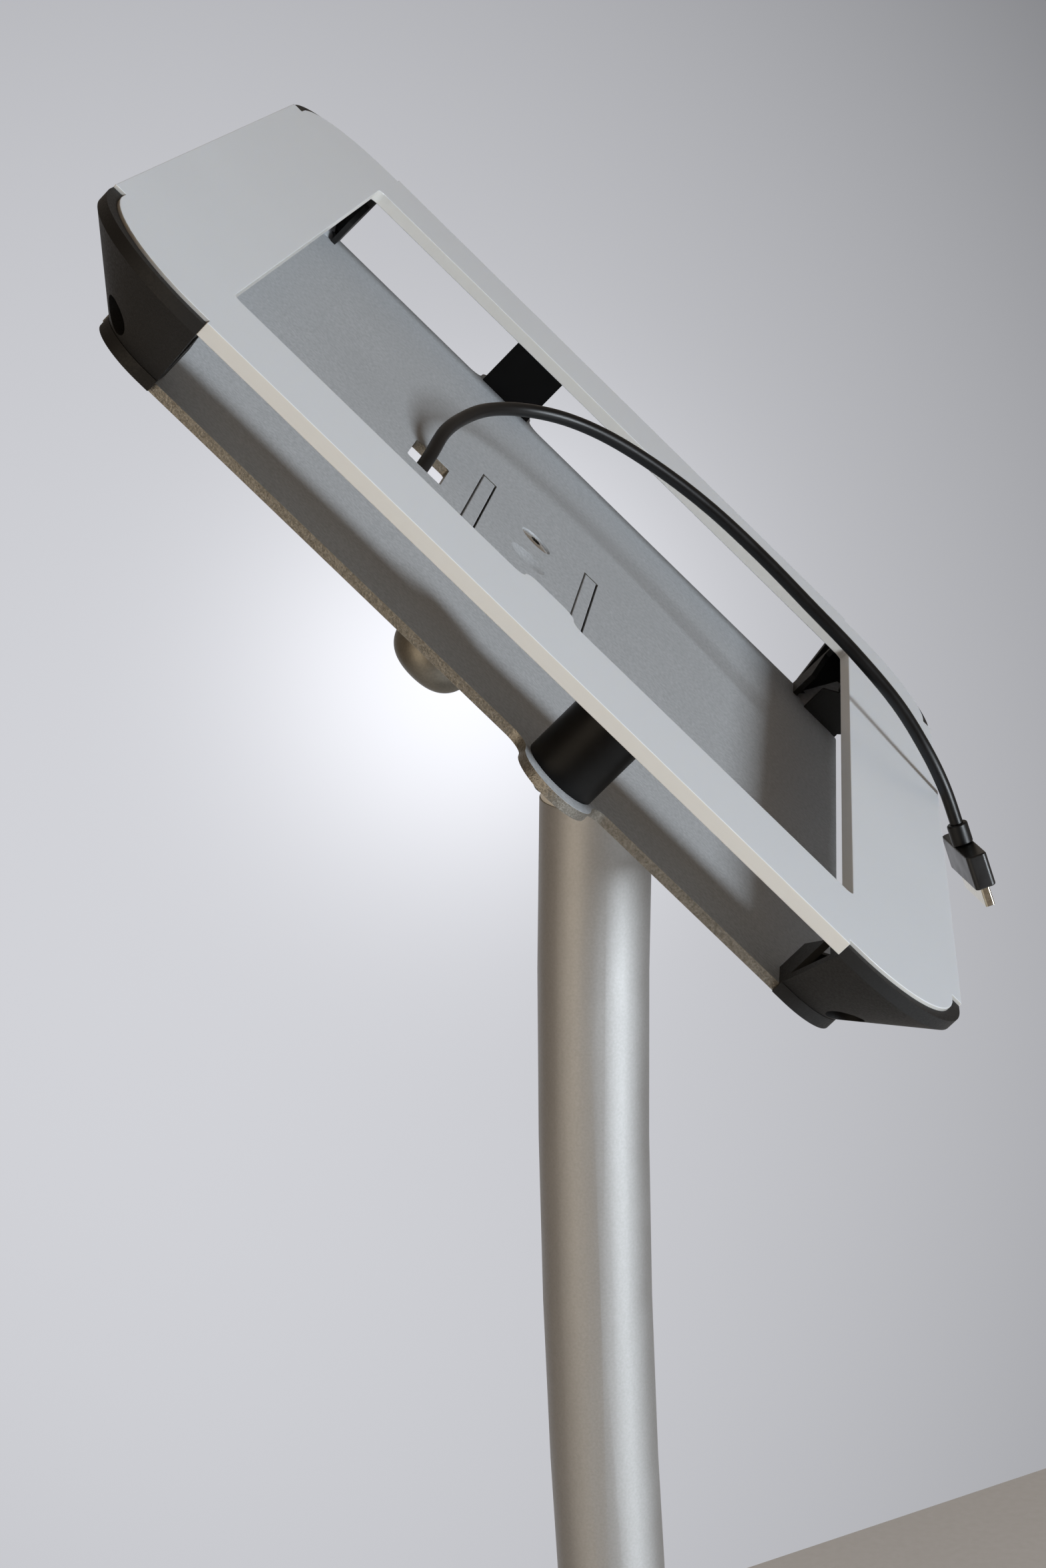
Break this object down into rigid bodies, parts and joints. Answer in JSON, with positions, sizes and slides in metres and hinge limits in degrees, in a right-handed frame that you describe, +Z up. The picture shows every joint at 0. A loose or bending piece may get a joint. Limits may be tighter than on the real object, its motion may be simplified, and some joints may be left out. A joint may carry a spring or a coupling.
{
  "type": "adjustable tablet floor stand",
  "caption": "Floor stand for a tablet: an open frame head with corner mouldings tilts and swivels on a bowed round post with a flat base; a dock cable lies over it.",
  "frame": {"origin": "middle of the base's underside, at floor level", "axes": "+Z up, +X toward the user, +Y along the tablet's long side"},
  "size_m": [0.38, 0.38, 1.0971],
  "materials": {
    "clear_white": "satin white translucent sheet",
    "grey_coat": "fine-textured grey powder coat",
    "black_moulding": "matte black moulded plastic",
    "black_satin": "satin black turned plastic",
    "black_screw": "black oxide steel",
    "bright_steel": "bright zinc-plated steel",
    "white_plastic": "white low-friction plastic",
    "satin_metal": "satin anodised aluminium",
    "bronze_metal": "satin turned metal, warm grey",
    "dark_coat": "grey powder coat on steel plate",
    "black_rubber": "black rubber",
    "cable_black": "glossy black cable jacket",
    "plug_black": "matte black housing",
    "tip_metal": "bright plated metal"
  },
  "bodies": {
    "stand": {"base_plate": "dark_coat", "foot_front_left": "black_rubber", "foot_front_right": "black_rubber", "foot_rear_left": "black_rubber", "foot_rear_right": "black_rubber", "base_collar": "satin_metal", "collar_screws": "black_screw", "collar_set_screw": "black_screw", "post": "satin_metal", "post_end_ring": "white_plastic", "hinge_plug": "bronze_metal"},
    "arm": {"tilt_arm": "satin_metal", "tilt_bolt": "bright_steel", "tilt_nut": "bright_steel", "friction_washers": "white_plastic"},
    "head": {"face_plate": "clear_white", "tray": "grey_coat", "corner_near_top": "black_moulding", "corner_near_bottom": "black_moulding", "corner_far_top": "black_moulding", "corner_far_bottom": "black_moulding", "standoff_near": "black_satin", "standoff_far": "black_satin", "corner_screws": "black_screw", "standoff_screws": "black_screw", "swivel_plate": "grey_coat", "swivel_plate_screws": "bright_steel", "swivel_bolt": "bright_steel", "slide_washer": "white_plastic", "cup_washers": "bright_steel", "domed_cap": "bronze_metal", "cable_clip": "black_moulding", "cable": "cable_black", "cable_boot": "cable_black", "plug_housing": "plug_black", "plug_tip": "tip_metal"}
  },
  "joints": [
    {"name": "head_tilt", "type": "hinge", "parent": "stand", "child": "arm", "pos_m": [-0.04744, 0, 0.96623], "axis": [0, 1, 0], "range_deg": [-30, 45]},
    {"name": "head_swivel", "type": "hinge", "parent": "arm", "child": "head", "pos_m": [-0.07084, 0, 0.99842], "axis": [0.6947, 0, 0.7193], "range_deg": [-90, 90]}
  ]
}
